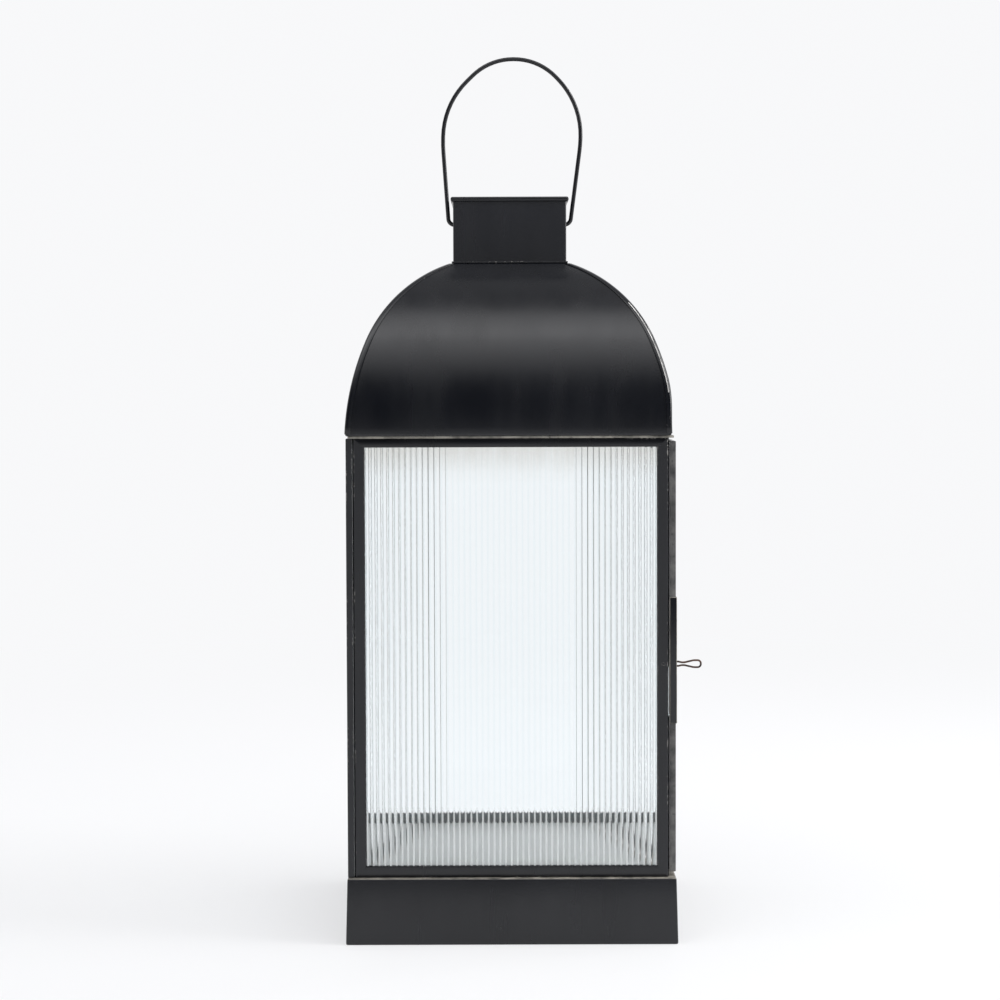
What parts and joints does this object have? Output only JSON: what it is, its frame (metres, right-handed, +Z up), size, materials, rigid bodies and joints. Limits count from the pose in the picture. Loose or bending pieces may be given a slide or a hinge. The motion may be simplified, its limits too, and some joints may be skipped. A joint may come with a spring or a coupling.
{
  "type": "candle lantern",
  "caption": "Square metal and reeded-glass candle lantern with a hinged side door, domed roof, open chimney and a swinging wire handle.",
  "frame": {"origin": "middle of the plinth's underside, on the surface that the lantern stands on", "axes": "+Z up, -Y the front pane, +X the hinged door's side"},
  "size_m": [0.2144, 0.2, 0.5421],
  "materials": {
    "black_paint": "semi-gloss black paint, slightly worn at the edges",
    "reeded_glass": "clear, pressed with fine upright ribs",
    "galvanised_sheet": "dull grey zinc",
    "bare_steel": "plain drawn steel",
    "brown_wire": "dark brown lacquered wire"
  },
  "bodies": {
    "lantern": {"base_shell": "black_paint", "floor_plate": "galvanised_sheet", "crown_ring": "black_paint", "front_frame": "black_paint", "front_glass": "reeded_glass", "rear_frame": "black_paint", "rear_glass": "reeded_glass", "left_frame": "black_paint", "left_glass": "reeded_glass", "post_front_left": "black_paint", "post_front_right": "black_paint", "post_rear_right": "black_paint", "post_rear_left": "black_paint", "catch_spring": "bare_steel", "catch_rivet": "bare_steel", "hinge_lower_frame_leaf": "black_paint", "hinge_lower_pin": "bare_steel", "hinge_upper_frame_leaf": "black_paint", "hinge_upper_pin": "bare_steel", "roof_rear": "black_paint", "roof_left": "black_paint", "roof_front": "black_paint", "roof_right": "black_paint", "roof_seam_rear_right": "black_paint", "roof_seam_rear_left": "black_paint", "roof_seam_front_left": "black_paint", "roof_seam_front_right": "black_paint", "neck_collar": "black_paint", "chimney": "black_paint", "chimney_rim": "black_paint"},
    "door": {"door_frame": "black_paint", "door_glass": "reeded_glass", "latch_plate": "black_paint", "latch_pull": "brown_wire", "hinge_lower_door_leaf": "black_paint", "hinge_upper_door_leaf": "black_paint"},
    "handle_body": {"handle": "black_paint"}
  },
  "joints": [
    {"name": "door_hinge", "type": "hinge", "parent": "lantern", "child": "door", "pos_m": [0.0976, 0.0971, 0.1729], "axis": [0, 0, 1], "range_deg": [0, 150]},
    {"name": "handle_swing", "type": "hinge", "parent": "lantern", "child": "handle_body", "pos_m": [0, 0, 0.437], "axis": [1, 0, 0], "range_deg": [-118, 118]}
  ]
}
